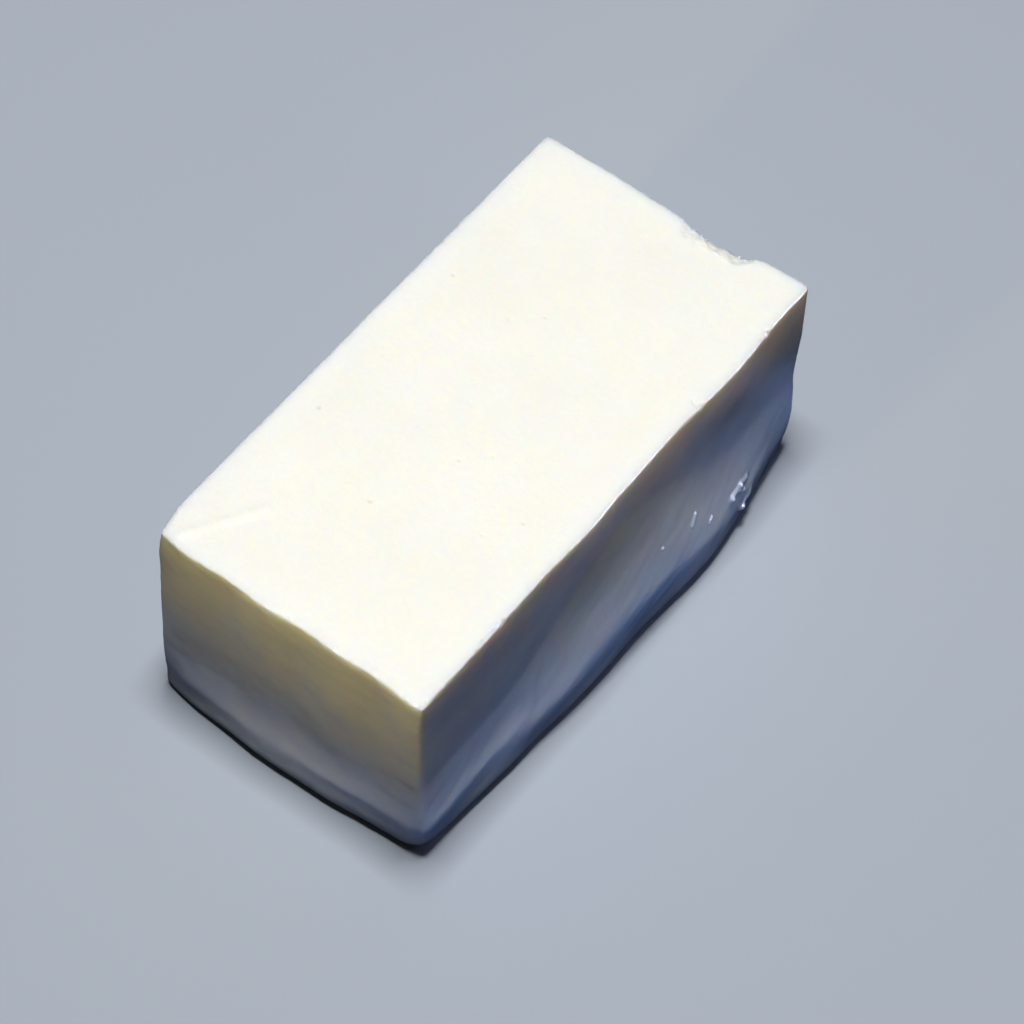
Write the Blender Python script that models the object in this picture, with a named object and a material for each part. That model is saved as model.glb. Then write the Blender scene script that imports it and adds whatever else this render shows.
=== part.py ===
"""Tofu block: one cut block of soft tofu, standing on its base.

Frame: metres, +Z up, origin at the middle of the base. X runs along the block's length and Y
across it. The near end is at -X, the far end at +X, the right side at -Y and the left side at +Y.

The block is a cube cut into a grid of rows, set out to the block's size and rounded off. Each of
its sides is then moved in or out by its own function: the waves that the knife left, the sag of
soft curd at the foot, and the chip in the far top edge.

Run it with: blender --background --python part.py
"""

import math

import bmesh
import bpy
from mathutils import Vector

NAME = "tofu_block"

# The block as it was cut, measured at its top
LENGTH = 0.114
WIDTH = 0.0592
HEIGHT = 0.049
HALF_LENGTH = LENGTH / 2
HALF_WIDTH = WIDTH / 2

# Rows of the grid: an even pitch over each face, and closer rows at these distances from an edge
ROW_PITCH = 0.0028
CORNER_ROWS = (0.0, 0.0003, 0.0009, 0.0022, 0.0042)
FOOT_ROWS = (0.0, 0.0005, 0.0013, 0.0027)
TOP_ROWS = (0.0, 0.0002, 0.0006)

# Edges: crisp where the knife passed, blunt where the soft foot carries the weight. The foot of
# the near left corner is a pointed toe, so both of its radii shrink there.
TOP_EDGE_RADIUS = 0.0005
FOOT_EDGE_RADIUS = 0.0027
CORNER_RADIUS = 0.0009
FOOT_CORNER_RADIUS = 0.0042
FOOT_CORNER_TOP = 0.016  # height at which the upright corners are crisp again
TOE_SHARE = 0.35
TOE_REACH = 0.022

# Sag: how far each side stands out at the foot, and how high up the side it reaches. On the
# right side a belly adds to it towards the far end: (middle along X, half width, height).
RIGHT_SAG = 0.0036
RIGHT_BELLY = (0.031, 0.033, 0.0020)
RIGHT_SAG_REACH_NEAR = 0.010
RIGHT_SAG_REACH_FAR = 0.034
RIGHT_SAG_REACH_FULL_AT = 0.625  # share of the length, from the near end
LEFT_SAG = 0.0026
LEFT_SAG_REACH = 0.022
NEAR_SAG = 0.0024
NEAR_SAG_REACH = 0.015
FAR_SAG = 0.0022
FAR_SAG_REACH = 0.018

# Knife waves along the near top edge, which fade down the end face
WAVE_HEIGHT = 0.0003
WAVE_PITCH = 0.0165
WAVE_CREST_Y = 0.0224
WAVE_KEPT_AT_FOOT = 0.3

# Low bulges along the right top edge: (middle along X, half width, height)
RIGHT_BULGES = ((-0.0105, 0.012, 0.0004), (0.0320, 0.015, 0.0006))
RIGHT_BULGE_DEPTH = 0.020

# Far end: a chip torn from the top edge, and the proud strip that the knife left beyond it
CHIPS = ((-0.0075, 0.0065, 0.0010), (-0.0135, 0.0050, 0.0011))
CHIP_DEPTH = 0.0065
STRIP_START_Y = -0.0165
STRIP_WIDTH = 0.0035
STRIP_HEIGHT = 0.0008

# Pinch above the foot at the near left corner, where the skin of the block folds in
PINCH_HEIGHT = 0.0060
PINCH_HALF_HEIGHT = 0.0035
PINCH_DEPTH = 0.0004
PINCH_LENGTH = 0.030

# Blunt tip of the near left top corner
BLUNT_TIP_REACH = 0.007
BLUNT_TIP_DEPTH = 0.0009

# Slow unevenness of every face, which starts elsewhere in its wave on each of them
SWAY_HEIGHT = 0.00015
SWAY_PITCH = 0.041
SWAY_CROSS_PITCH = 0.059
SWAY_START = {"near end": 0.4, "far end": 1.9, "right side": 3.1, "left side": 4.6, "top": 5.3}

FLAT = 1e-7  # how far from the base's plane a corner may be and still be on it

CURD_COLOR = (0.92, 0.90, 0.82, 1.0)
CURD_ROUGHNESS = 0.38


def ease(t):
    """0 up to t = 0, 1 from t = 1, and smooth between."""
    t = min(max(t, 0.0), 1.0)
    return t * t * (3.0 - 2.0 * t)


def hump(at, middle, half_width):
    """1 at the middle, 0 from half_width away on either side, and smooth between."""
    return ease(1.0 - abs(at - middle) / half_width)


def sway(face, a, b):
    """The slow unevenness of a face at a place (a, b) on it."""
    start = SWAY_START[face]
    along = math.sin(2.0 * math.pi * a / SWAY_PITCH + start)
    across = math.cos(2.0 * math.pi * b / SWAY_CROSS_PITCH + 2.0 * start)
    return SWAY_HEIGHT * along * across


def sag(along, half, z, reach):
    """Share of the sag at a place along a side: full in mid-foot, none at the foot's corners."""
    return math.cos(0.5 * math.pi * along / half) * ease(1.0 - z / reach)


def toe(x, y):
    """Share of the foot's radii that is kept at (x, y): less towards the near left corner."""
    gone = ease(1.0 - math.hypot(x + HALF_LENGTH, y - HALF_WIDTH) / TOE_REACH)
    return 1.0 - (1.0 - TOE_SHARE) * gone


def near_end(y, z):
    """How far the near end face stands out at (y, z)."""
    wave = math.cos(2.0 * math.pi * (y - WAVE_CREST_Y) / WAVE_PITCH)
    kept = WAVE_KEPT_AT_FOOT + (1.0 - WAVE_KEPT_AT_FOOT) * ease(z / HEIGHT)
    pinch = hump(z, PINCH_HEIGHT, PINCH_HALF_HEIGHT)
    pinch *= ease((y - HALF_WIDTH + PINCH_LENGTH) / PINCH_LENGTH)
    return (
        WAVE_HEIGHT * wave * kept
        + NEAR_SAG * sag(y, HALF_WIDTH, z, NEAR_SAG_REACH)
        - PINCH_DEPTH * pinch
        + sway("near end", y, z)
    )


def far_end(y, z):
    """How far the far end face stands out at (y, z)."""
    chip = sum(depth * hump(y, middle, half) for middle, half, depth in CHIPS)
    torn = ease((z - HEIGHT + CHIP_DEPTH) / CHIP_DEPTH)
    strip = STRIP_HEIGHT * ease((STRIP_START_Y - y) / STRIP_WIDTH)
    hang = FAR_SAG * sag(y, HALF_WIDTH, z, FAR_SAG_REACH)
    return hang - chip * torn + strip + sway("far end", y, z)


def right_side(x, z):
    """How far the right side stands out at (x, z). Its sag reaches higher towards the far end."""
    middle, half, height = RIGHT_BELLY
    belly = height * hump(x, middle, half)
    bulge = sum(rise * hump(x, at, half) for at, half, rise in RIGHT_BULGES)
    shown = ease((z - HEIGHT + RIGHT_BULGE_DEPTH) / RIGHT_BULGE_DEPTH)
    along = ease((x + HALF_LENGTH) / LENGTH / RIGHT_SAG_REACH_FULL_AT)
    reach = RIGHT_SAG_REACH_NEAR + (RIGHT_SAG_REACH_FAR - RIGHT_SAG_REACH_NEAR) * along
    hang = RIGHT_SAG * sag(x, HALF_LENGTH, z, reach) + belly * ease(1.0 - z / reach)
    return hang + bulge * shown + sway("right side", x, z)


def left_side(x, z):
    """How far the left side stands out at (x, z)."""
    blunt = BLUNT_TIP_DEPTH * ease(1.0 - (x + HALF_LENGTH) / BLUNT_TIP_REACH)
    tip = blunt * ease((z - HEIGHT + BLUNT_TIP_REACH) / BLUNT_TIP_REACH)
    hang = LEFT_SAG * sag(x, HALF_LENGTH, z, LEFT_SAG_REACH)
    return hang - tip + sway("left side", x, z)


def rows(size, low, high):
    """Where the grid's rows lie along a side of this size, with the close rows of its two edges."""
    even = size - low[-1] - high[-1]
    count = round(even / ROW_PITCH)
    middle = [low[-1] + even * i / count for i in range(count + 1)]
    return [*low[:-1], *middle, *(size - at for at in reversed(high[:-1]))]


def cut_cube(bm, grid):
    """A cube from 0 to 1 whose faces are cut into as many rows as the grid has."""
    bmesh.ops.create_cube(bm, size=1.0)
    bmesh.ops.translate(bm, verts=bm.verts, vec=(0.5, 0.5, 0.5))
    for axis, places in enumerate(grid):
        whole = [e for e in bm.edges if abs(e.verts[0].co[axis] - e.verts[1].co[axis]) > 0.5]
        bmesh.ops.subdivide_edges(bm, edges=whole, cuts=len(places) - 2, use_grid_fill=True)


def set_out(co, grid):
    """A place on the cube as a place on the squared block: each corner goes to its row."""
    x, y, z = (places[round(t * (len(places) - 1))] for t, places in zip(co, grid))
    return Vector((x - HALF_LENGTH, y - HALF_WIDTH, z))


def rounded(co):
    """A place on the squared block as a place on the block with rounded edges."""
    foot = ease(1.0 - co.z / FOOT_CORNER_TOP)
    kept = toe(co.x, co.y)
    corner = CORNER_RADIUS + (FOOT_CORNER_RADIUS * kept - CORNER_RADIUS) * foot
    edge = FOOT_EDGE_RADIUS * kept if co.z < HEIGHT / 2.0 else TOP_EDGE_RADIUS
    radii = Vector((corner, corner, edge))
    low = Vector((-HALF_LENGTH, -HALF_WIDTH, 0.0)) + radii
    high = Vector((HALF_LENGTH, HALF_WIDTH, HEIGHT)) - radii
    core = Vector(min(max(c, a), b) for c, a, b in zip(co, low, high))
    out = Vector((c - k) / r for c, k, r in zip(co, core, radii))
    if out.length == 0.0:
        return co
    out *= max(abs(c) for c in out) / out.length
    return core + Vector(c * r for c, r in zip(out, radii))


def shaped(co):
    """A place on the rounded block as a place on the real one: each side is moved by its function."""
    far_share = co.x / LENGTH + 0.5
    left_share = co.y / WIDTH + 0.5
    x = co.x + far_share * far_end(co.y, co.z) - (1.0 - far_share) * near_end(co.y, co.z)
    y = co.y + left_share * left_side(co.x, co.z) - (1.0 - left_share) * right_side(co.x, co.z)
    z = co.z * (1.0 + sway("top", co.x, co.y) / HEIGHT)
    return Vector((x, y, z))


def centre_on_base(bm):
    """Moves the block so that the middle of its box is over the origin."""
    for axis in (0, 1):
        places = [v.co[axis] for v in bm.verts]
        middle = (min(places) + max(places)) / 2.0
        for v in bm.verts:
            v.co[axis] -= middle


def join_base(bm):
    """Makes the flat base, which meets what the block stands on, a single face."""
    base = [f for f in bm.faces if all(abs(v.co.z) < FLAT for v in f.verts)]
    bmesh.ops.dissolve_faces(bm, faces=base, use_verts=True)


def curd_material():
    material = bpy.data.materials.new("curd")
    material.use_nodes = True
    shader = material.node_tree.nodes["Principled BSDF"]
    shader.inputs["Base Color"].default_value = CURD_COLOR
    shader.inputs["Roughness"].default_value = CURD_ROUGHNESS
    shader.inputs["Metallic"].default_value = 0.0
    return material


def make_block(collection):
    grid = (
        rows(LENGTH, CORNER_ROWS, CORNER_ROWS),
        rows(WIDTH, CORNER_ROWS, CORNER_ROWS),
        rows(HEIGHT, FOOT_ROWS, TOP_ROWS),
    )
    bm = bmesh.new()
    cut_cube(bm, grid)
    for v in bm.verts:
        v.co = shaped(rounded(set_out(v.co, grid)))
    centre_on_base(bm)
    join_base(bm)
    mesh = bpy.data.meshes.new(NAME)
    bm.to_mesh(mesh)
    bm.free()
    mesh.shade_smooth()
    mesh.materials.append(curd_material())
    block = bpy.data.objects.new(NAME, mesh)
    collection.objects.link(block)
    return block


def main():
    for old in list(bpy.data.objects):
        bpy.data.objects.remove(old)
    collection = bpy.data.collections.new("tofu block")
    bpy.context.scene.collection.children.link(collection)
    make_block(collection)


main()
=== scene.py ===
# %% [markdown]
# # A block of soft tofu
#
# Soft tofu is soy milk that has set in a tray and been cut with a long thin knife. The block is
# wet and smooth, it glows a little where light passes through its edges, and it sags at the foot
# under its own weight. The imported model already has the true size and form, so it is the fixed
# frame for everything here: the new skin is laid exactly where the model says.

# %% Load the frame and keep its size
import math
import random

import bmesh
import bpy
from mathutils import Matrix, Vector, kdtree, noise


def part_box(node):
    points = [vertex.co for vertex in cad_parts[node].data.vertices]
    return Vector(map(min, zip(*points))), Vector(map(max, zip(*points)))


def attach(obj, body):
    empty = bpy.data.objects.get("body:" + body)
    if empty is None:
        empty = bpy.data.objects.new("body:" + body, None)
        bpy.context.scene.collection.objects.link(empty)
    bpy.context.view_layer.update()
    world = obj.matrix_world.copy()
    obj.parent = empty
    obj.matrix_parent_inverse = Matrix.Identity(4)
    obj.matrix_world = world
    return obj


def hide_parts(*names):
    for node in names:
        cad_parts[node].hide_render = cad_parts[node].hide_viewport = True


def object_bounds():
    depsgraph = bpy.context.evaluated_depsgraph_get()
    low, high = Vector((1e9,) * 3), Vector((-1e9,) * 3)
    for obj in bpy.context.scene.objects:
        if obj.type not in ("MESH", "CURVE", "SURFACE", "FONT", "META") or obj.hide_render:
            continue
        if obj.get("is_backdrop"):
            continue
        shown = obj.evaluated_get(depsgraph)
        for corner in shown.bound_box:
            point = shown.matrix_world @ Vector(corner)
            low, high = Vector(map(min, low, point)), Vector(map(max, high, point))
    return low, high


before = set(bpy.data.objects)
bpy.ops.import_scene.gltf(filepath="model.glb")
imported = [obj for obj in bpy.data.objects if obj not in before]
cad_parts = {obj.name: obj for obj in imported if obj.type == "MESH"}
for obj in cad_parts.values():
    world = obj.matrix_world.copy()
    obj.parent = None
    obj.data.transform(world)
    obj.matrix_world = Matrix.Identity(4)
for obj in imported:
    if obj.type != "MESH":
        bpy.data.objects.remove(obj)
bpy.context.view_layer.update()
block_low, block_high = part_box("tofu_block")
LENGTH, WIDTH, HEIGHT = block_high - block_low
MM = 0.001  # a millimetre in Blender's metres
print(f"The block is {LENGTH / MM:.1f} x {WIDTH / MM:.1f} x {HEIGHT / MM:.1f} mm")

# %% [markdown]
# ## The camera
#
# The block is seen from above its near corner, from about an arm's length, with a long lens and
# the camera tipped a little to one side. The camera could be turned by hand in the viewport, but
# an azimuth, an elevation and a roll say the same thing in three numbers that are easy to change.
# All three turns are about the point that the camera aims at.

# %% Place the camera
VIEW_AZIMUTH = math.radians(-55.2)
VIEW_ELEVATION = math.radians(55.4)
VIEW_ROLL = math.radians(2.8)
VIEW_DISTANCE = 0.7068
VIEW_LENS = 136.3
AIM = Vector((0.0, 0.3 * MM, HEIGHT / 2))
FRAMING = Vector((4.5 * MM, -4.3 * MM, 0.0))  # how far the block stands off the picture's middle

turn = (
    Matrix.Rotation(VIEW_AZIMUTH, 4, "Z")
    @ Matrix.Rotation(math.pi / 2 - VIEW_ELEVATION, 4, "X")
    @ Matrix.Rotation(VIEW_ROLL, 4, "Z")
)
step_back = Vector((0.0, 0.0, VIEW_DISTANCE))

bpy.ops.object.select_all(action="DESELECT")
bpy.ops.object.camera_add()
camera = bpy.context.object
camera.name = "camera"
camera.data.lens = VIEW_LENS
camera.matrix_world = Matrix.Translation(AIM) @ turn @ Matrix.Translation(FRAMING + step_back)
bpy.context.scene.camera = camera
print("The camera stands at", [round(c, 3) for c in camera.matrix_world.translation])

# %% [markdown]
# ## The light
#
# Curd shows its form by very little: a bright top and dim sides. One large soft light hangs over
# the block, a touch behind it, so the top is nearly white and the sides get only what grazes
# them. An even dome would be simpler, and the relief would vanish in it.

# %% Hang the key light
KEY_DISTANCE = 1.1
KEY_SIZE = 0.25
KEY_POWER = 11.7
KEY_COLOR = (1.0, 1.01, 1.02)


def towards(azimuth, elevation):
    """The direction of that azimuth and elevation, where azimuth 0 is at -Y."""
    across, up = math.radians(azimuth), math.radians(elevation)
    return Vector((math.sin(across) * math.cos(up), -math.cos(across) * math.cos(up), math.sin(up)))


def add_light(kind, name, direction, distance, aim, power, color):
    """A light of that kind, that far from the place it aims at."""
    bpy.ops.object.light_add(type=kind, location=aim + direction * distance)
    light = bpy.context.object
    light.name = name
    light.rotation_euler = direction.to_track_quat("Z", "Y").to_euler()
    light.data.energy = power
    light.data.color = color
    print(f"The {name} is {light.location.z / MM:.0f} mm above the floor")
    return light


key = add_light("AREA", "key light", towards(180.0, 89.3), KEY_DISTANCE, AIM, KEY_POWER, KEY_COLOR)
key.data.size = KEY_SIZE

# %% [markdown]
# Two warm lamps give the straw colour that the sides have under the rim. The one on the left stands
# low, and the soft lower edge of its beam falls across the near end, so that end is warm above and
# cool below. The one on the right shines upwards from just over the table. The top looks away from
# it and the beam passes over the foot, so it reaches only a strip under the right rim.

# %% Two warm lamps
OVER_THE_END = Vector((-LENGTH / 2, -0.004, 2.6 * HEIGHT))
WARM_DISTANCE = 0.60
WARM_POWER = 6.8
WARM_COLOR = (1.0, 0.83, 0.36)

OVER_THE_SIDE = Vector((0.018, -WIDTH / 2, 1.9 * HEIGHT))
STRIP_DISTANCE = 0.50
STRIP_POWER = 3.2
STRIP_COLOR = (1.0, 0.66, 0.45)


def shape_beam(light, angle, blend, lamp_radius):
    """Sets a spot's full angle in degrees, the soft share of its beam, and the lamp's own radius."""
    light.data.spot_size = math.radians(angle)
    light.data.spot_blend = blend
    light.data.shadow_soft_size = lamp_radius


from_left = towards(-93.0, 8.0)
warm = add_light("SPOT", "warm spot", from_left, WARM_DISTANCE, OVER_THE_END, WARM_POWER, WARM_COLOR)
shape_beam(warm, angle=23.0, blend=1.0, lamp_radius=0.02)

from_right = towards(62.0, -9.0)
strip = add_light("SPOT", "side spot", from_right, STRIP_DISTANCE, OVER_THE_SIDE, STRIP_POWER, STRIP_COLOR)
shape_beam(strip, angle=13.4, blend=0.5, lamp_radius=0.01)

# %% [markdown]
# A blue lamp does what a glazed dish round the block would do: it lights the lower half of the
# sides from below. It stands past the end of the floor and a hair lower than it, so its light skims
# the table and leaves no patch on it. The end of the floor shades the foot of the block, and the
# soft upper edge of the beam dies away halfway up the sides. A dish has no bright point in it, so
# the wet film doesn't mirror this lamp.

# %% A blue lamp past the end of the floor
FLOOR_SIZE = 6.0
COOL_AZIMUTH = -32.0
COOL_ELEVATION = 4.39
COOL_DISTANCE = 4.0
COOL_POWER = 107.0
COOL_COLOR = (0.07, 0.27, 1.0)
COOL_AIM = 0.052  # how far along the block from its middle the beam is aimed
SHADED_FOOT = 6.5 * MM  # how high the shade of the floor's edge reaches up the block

floor_ends = FLOOR_SIZE / 2 / math.cos(math.radians(COOL_AZIMUTH))
below_floor = SHADED_FOOT * (COOL_DISTANCE / floor_ends - 1.0)
beam_drop = COOL_DISTANCE * math.sin(math.radians(COOL_ELEVATION))
UNDER_THE_FLOOR = Vector((COOL_AIM, 0.0, -below_floor - beam_drop))
from_front = towards(COOL_AZIMUTH, COOL_ELEVATION)
cool = add_light("SPOT", "cool spot", from_front, COOL_DISTANCE, UNDER_THE_FLOOR, COOL_POWER, COOL_COLOR)
shape_beam(cool, angle=10.0, blend=0.17, lamp_radius=0.0008)
cool.visible_glossy = False

# %% [markdown]
# A light on the right is there for the glints on the wet side alone, so it gives no diffuse light.

# %% Glints
GLINT_DISTANCE = 0.9
GLINT_SIZE = 0.30
GLINT_POWER = 19.0
GLINT_COLOR = (0.62, 0.68, 1.0)

before_the_side = towards(35.0, 16.0)
glint = add_light("AREA", "glint light", before_the_side, GLINT_DISTANCE, AIM, GLINT_POWER, GLINT_COLOR)
glint.data.size = GLINT_SIZE
glint.visible_diffuse = False

# %% [markdown]
# The sky is faint and fills in the rest. The camera sees an even pale wall in its place.

# %% Sky and wall
SKY_COLOR = (0.62, 0.72, 0.95, 1.0)
SKY_STRENGTH = 0.02
WALL_COLOR = (0.42, 0.45, 0.50, 1.0)

world = bpy.data.worlds.new("studio")
bpy.context.scene.world = world
world.use_nodes = True
nodes, links = world.node_tree.nodes, world.node_tree.links
sky = nodes["Background"]
sky.inputs["Color"].default_value = SKY_COLOR
sky.inputs["Strength"].default_value = SKY_STRENGTH
wall = nodes.new("ShaderNodeBackground")
wall.inputs["Color"].default_value = WALL_COLOR
ray = nodes.new("ShaderNodeLightPath")
either = nodes.new("ShaderNodeMixShader")
links.new(ray.outputs["Is Camera Ray"], either.inputs["Fac"])
links.new(sky.outputs["Background"], either.inputs[1])
links.new(wall.outputs["Background"], either.inputs[2])
links.new(either.outputs["Shader"], nodes["World Output"].inputs["Surface"])
bpy.context.scene.view_settings.view_transform = "Standard"
print("The camera sees a wall of", WALL_COLOR[:3])

# %% [markdown]
# ## The floor
#
# The floor is plain pale paper, rough and without gloss, and it is a prop and no part of the block.

# %% Lay the floor
FLOOR_COLOR = (0.44, 0.48, 0.54, 1.0)
FLOOR_ROUGHNESS = 0.8

bpy.ops.mesh.primitive_plane_add(size=FLOOR_SIZE)
floor = bpy.context.object
floor.name = "floor"
paper = bpy.data.materials.new("floor paper")
paper.use_nodes = True
paper_shader = paper.node_tree.nodes["Principled BSDF"]
paper_shader.inputs["Roughness"].default_value = FLOOR_ROUGHNESS
paper_shader.inputs["Specular IOR Level"].default_value = 0.0
floor.data.materials.append(paper)
floor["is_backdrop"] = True
print(f"The floor is {floor.dimensions.x:.1f} m square")

# %% [markdown]
# A material is a tree of nodes, and the same few kinds come again and again. Each helper adds one
# and links it, and gives back the socket that its answer comes out of. They could be placed by hand
# in the Shader Editor, but words are easier to read than wires.

# %% Helpers for nodes
MIX_SHARE, MIX_FIRST, MIX_SECOND, MIX_RESULT = 0, 6, 7, 2  # a Mix node's sockets when it mixes colours


def add_node(tree, kind, **settings):
    """Adds a node and sets what is given, such as operation."""
    node = tree.nodes.new(kind)
    for name, value in settings.items():
        setattr(node, name, value)
    return node


def feed(tree, value, socket):
    """Links a socket to another, or sets it to a number, a vector or a colour."""
    if isinstance(value, bpy.types.NodeSocket):
        tree.links.new(value, socket)
    else:
        socket.default_value = value


def add_range(tree, value, low, high, to_low, to_high):
    """Maps low..high to to_low..to_high, held at both ends."""
    node = add_node(tree, "ShaderNodeMapRange")
    feed(tree, value, node.inputs["Value"])
    node.inputs["From Min"].default_value = low
    node.inputs["From Max"].default_value = high
    node.inputs["To Min"].default_value = to_low
    node.inputs["To Max"].default_value = to_high
    return node.outputs["Result"]


def add_math(tree, operation, first, second):
    """Works on two numbers."""
    node = add_node(tree, "ShaderNodeMath", operation=operation)
    feed(tree, first, node.inputs[0])
    feed(tree, second, node.inputs[1])
    return node.outputs["Value"]


def add_vector_math(tree, operation, first, second=(0.0, 0.0, 0.0)):
    """Works on one vector or two. Only the answer of LENGTH is a number."""
    node = add_node(tree, "ShaderNodeVectorMath", operation=operation)
    feed(tree, first, node.inputs[0])
    feed(tree, second, node.inputs[1])
    return node.outputs["Value" if operation == "LENGTH" else "Vector"]


def add_mix(tree, share, first, second):
    """Mixes two colours."""
    node = add_node(tree, "ShaderNodeMix", data_type="RGBA")
    feed(tree, share, node.inputs[MIX_SHARE])
    feed(tree, first, node.inputs[MIX_FIRST])
    feed(tree, second, node.inputs[MIX_SECOND])
    return node.outputs[MIX_RESULT]


# %% [markdown]
# Curd is white and wet, so its sides take their colour from what they stand in, which is a glazed
# blue dish. The dish isn't part of this block. The floor is plain pale paper to the camera, and
# only to the light that reaches the curd from it is it a dish: dark with painted shade where the
# curd touches it, blue beside the foot, and dim further out. Light Path tells the two apart. The
# ramp follows the distance from the block's own rectangle, so its strips are as wide all the way
# round.

# %% Colour what the floor throws back
# Painted shade: the light thrown back is dark where the curd touches the floor.
CONTACT_SHADE_COLOR = (0.012, 0.02, 0.035, 1.0)
GLAZE_COLOR = (0.10, 0.135, 0.24, 1.0)
DISTANT_COLOR = (0.050, 0.053, 0.072, 1.0)
GLAZE_AT = 0.45
GLAZE_REACH = 0.020

tree = paper.node_tree
where = add_node(tree, "ShaderNodeTexCoord").outputs["Object"]
corner_wise = add_vector_math(tree, "ABSOLUTE", where)
past = add_vector_math(tree, "SUBTRACT", corner_wise, (LENGTH / 2, WIDTH / 2, 0.0))
outside = add_vector_math(tree, "MAXIMUM", past)
gap = add_vector_math(tree, "LENGTH", outside)

thrown = add_node(tree, "ShaderNodeValToRGB")
thrown.color_ramp.interpolation = "EASE"
thrown.color_ramp.elements[0].color = CONTACT_SHADE_COLOR
thrown.color_ramp.elements[1].color = DISTANT_COLOR
thrown.color_ramp.elements.new(GLAZE_AT).color = GLAZE_COLOR
feed(tree, add_range(tree, gap, 0.0, GLAZE_REACH, 0.0, 1.0), thrown.inputs["Fac"])

seen = add_node(tree, "ShaderNodeLightPath").outputs["Is Camera Ray"]
feed(tree, add_mix(tree, seen, thrown.outputs["Color"], FLOOR_COLOR), paper_shader.inputs["Base Color"])
print(f"The floor throws back blue within {GLAZE_REACH / MM:.0f} mm of the block")

# %% [markdown]
# ## The skin of the block
#
# The frame's block has the right form, but its rows are nearly 3 mm apart, which is too coarse
# for a pinhole. A new box could be wrapped onto it, but the rows would bunch up at the waved
# edges. So the block is copied, its loose triangles are merged and paired back into the rows
# they came from, and Subdivision Surface makes each row into four. The base is one face within a
# narrow border, because nobody sees it and the table holds it flat.
#
# Operators work on what is selected, so a few helpers open a piece, pick corners, edges or faces
# of it by a test, and close it again.

# %% Helpers for editing
def choose(piece):
    """Makes one piece the active one and the only one selected."""
    bpy.ops.object.select_all(action="DESELECT")
    piece.select_set(True)
    bpy.context.view_layer.objects.active = piece


def start_editing(piece, kind):
    """Opens one piece in edit mode with nothing selected. kind is VERT, EDGE or FACE."""
    choose(piece)
    bpy.ops.object.mode_set(mode="EDIT")
    bpy.ops.mesh.select_mode(type=kind)
    bpy.ops.mesh.select_all(action="DESELECT")


def pick(piece, wanted, kind):
    """Selects what passes a test, among the corners, edges or faces of the piece being edited."""
    bm = bmesh.from_edit_mesh(piece.data)
    items = {"VERT": bm.verts, "EDGE": bm.edges, "FACE": bm.faces}[kind]
    for item in items:
        item.select = wanted(item)
    bm.select_flush_mode()
    bmesh.update_edit_mesh(piece.data)


def stop_editing():
    """Closes the piece again."""
    bpy.ops.object.mode_set(mode="OBJECT")


# %% Copy the block
SAME_PLACE = 0.001 * MM
PAIRING_ANGLE = math.radians(60)
ON_BASE = 0.01 * MM
TIMES_HALVED = 2
BASE_BORDER = 1.0 * MM

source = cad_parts["tofu_block"]
block = source.copy()
block.data = source.data.copy()
block.parent = None
block.name = "curd_block"
bpy.context.collection.objects.link(block)


def on_base(face):
    """True for a face that lies on the table."""
    return all(corner.co.z < ON_BASE for corner in face.verts)


start_editing(block, "FACE")
bpy.ops.mesh.select_all(action="SELECT")
bpy.ops.mesh.remove_doubles(threshold=SAME_PLACE)
bpy.ops.mesh.tris_convert_to_quads(face_threshold=PAIRING_ANGLE, shape_threshold=PAIRING_ANGLE)
pick(block, on_base, "FACE")
bpy.ops.mesh.dissolve_faces()
stop_editing()

finer = block.modifiers.new("finer rows", "SUBSURF")
finer.levels = finer.render_levels = TIMES_HALVED
bpy.ops.object.modifier_apply(modifier=finer.name)

start_editing(block, "FACE")
pick(block, on_base, "FACE")
bpy.ops.mesh.dissolve_faces()
bpy.ops.mesh.inset(thickness=BASE_BORDER)
stop_editing()
print("The skin has", len(block.data.polygons), "faces")

# %% [markdown]
# Nothing on soft curd starts or ends at a line, so all that follows fades in and out. Each helper
# gives a share from 0 to 1 that is smooth at both ends, which is what a vertex group or a mask
# takes. A painted weight would do the same, but a share can be read and changed.

# %% Helpers for shares
def ease(t):
    """0 up to t = 0, 1 from t = 1, and smooth between."""
    t = min(max(t, 0.0), 1.0)
    return t * t * (3.0 - 2.0 * t)


def fade(value, none, full):
    """0 at none and past it, 1 at full and past it, and smooth between."""
    return ease((value - none) / (full - none))


def nearness(distance, reach):
    """1 at no distance, 0 from reach away, and smooth between."""
    return ease(1.0 - distance / reach)


def hump(at, middle, half_width):
    """1 at the middle, 0 from half_width away on either side, and smooth between."""
    return nearness(abs(at - middle), half_width)


# %% [markdown]
# The top edges are where the eye looks for crumbs and nicks, and much of the relief keeps to them
# or off them. The rim is where the skin turns from the top to a side. Its corners are put in a
# tree, which finds the nearest of them to any place without trying them all.

# %% Find the rim
TOP = HEIGHT
RIM_DEPTH = 1.6 * MM
RIM_STEEPEST, RIM_FLATTEST = 0.35, 0.9  # how much of a rim corner's normal points up
TOP_DIP = 0.6 * MM  # how far below the highest place the top still counts as the top


def tree_of(places):
    """A tree that finds the nearest of the places. Each is known by where it stands in the list."""
    tree = kdtree.KDTree(len(places))
    for i, place in enumerate(places):
        tree.insert(place, i)
    tree.balance()
    return tree


def is_rim(corner):
    """True where the skin turns from the top to a side."""
    return corner.co.z > TOP - RIM_DEPTH and RIM_STEEPEST < corner.normal.z < RIM_FLATTEST


rim_places = [(v.co.x, v.co.y, 0.0) for v in block.data.vertices if is_rim(v)]
rim_tree = tree_of(rim_places)


def from_rim(co):
    """How far a place is from the rim of the top, seen from above."""
    return rim_tree.find((co.x, co.y, 0.0))[2]


top_corners = [v.co for v in block.data.vertices if v.co.z > TOP - TOP_DIP]
TOP_LOW = Vector((min(c.x for c in top_corners), min(c.y for c in top_corners), TOP))
TOP_HIGH = Vector((max(c.x for c in top_corners), max(c.y for c in top_corners), TOP))


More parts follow.
